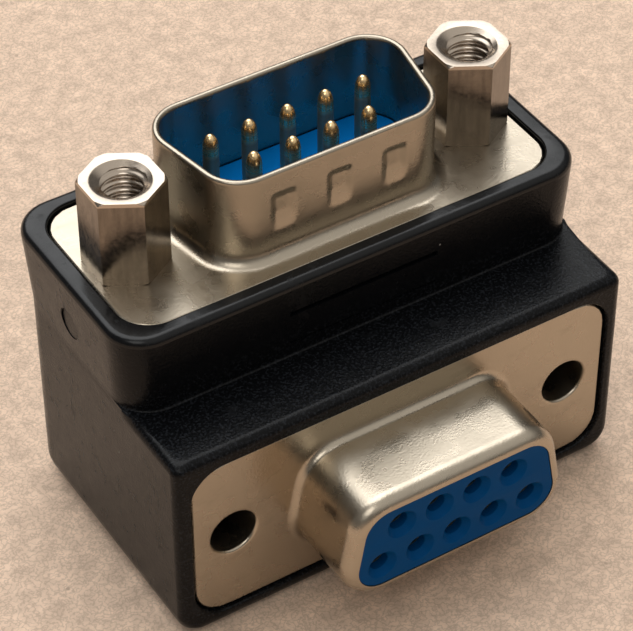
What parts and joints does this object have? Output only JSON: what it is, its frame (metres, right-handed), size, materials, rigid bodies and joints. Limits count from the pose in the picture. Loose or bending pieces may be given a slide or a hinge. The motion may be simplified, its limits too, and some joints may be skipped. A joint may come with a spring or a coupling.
{
  "type": "d-sub connector",
  "caption": "Right-angle D-sub adapter: a male connector with hex standoffs on top and a female connector at the front of a black moulded housing.",
  "frame": {"origin": "middle of the part's box, at the flat underside it stands on", "axes": "+X across the connectors, -Y the way the female connector faces, +Z the way the male connector faces"},
  "size_m": [0.0338, 0.026, 0.0274],
  "materials": {
    "black_plastic": "fine-grained satin black moulding",
    "nickel_steel": "bright nickel plate over stamped steel",
    "blue_plastic": "semi-gloss blue moulding",
    "gold_contact": "thin gold plate over brass",
    "nickel_standoff": "nickel plate over turned brass bar"
  },
  "bodies": {
    "root": {"housing": "black_plastic", "male_shell": "nickel_steel", "male_rear_shell": "nickel_steel", "male_insulator": "blue_plastic", "female_shell": "nickel_steel", "female_rear_shell": "nickel_steel", "female_insulator": "blue_plastic", "standoff_left": "nickel_standoff", "standoff_right": "nickel_standoff", "nut_left": "nickel_standoff", "nut_right": "nickel_standoff", "pin_1": "gold_contact", "pin_2": "gold_contact", "pin_3": "gold_contact", "pin_4": "gold_contact", "pin_5": "gold_contact", "pin_6": "gold_contact", "pin_7": "gold_contact", "pin_8": "gold_contact", "pin_9": "gold_contact", "socket_1": "gold_contact", "socket_2": "gold_contact", "socket_3": "gold_contact", "socket_4": "gold_contact", "socket_5": "gold_contact", "socket_6": "gold_contact", "socket_7": "gold_contact", "socket_8": "gold_contact", "socket_9": "gold_contact"}
  },
  "joints": []
}
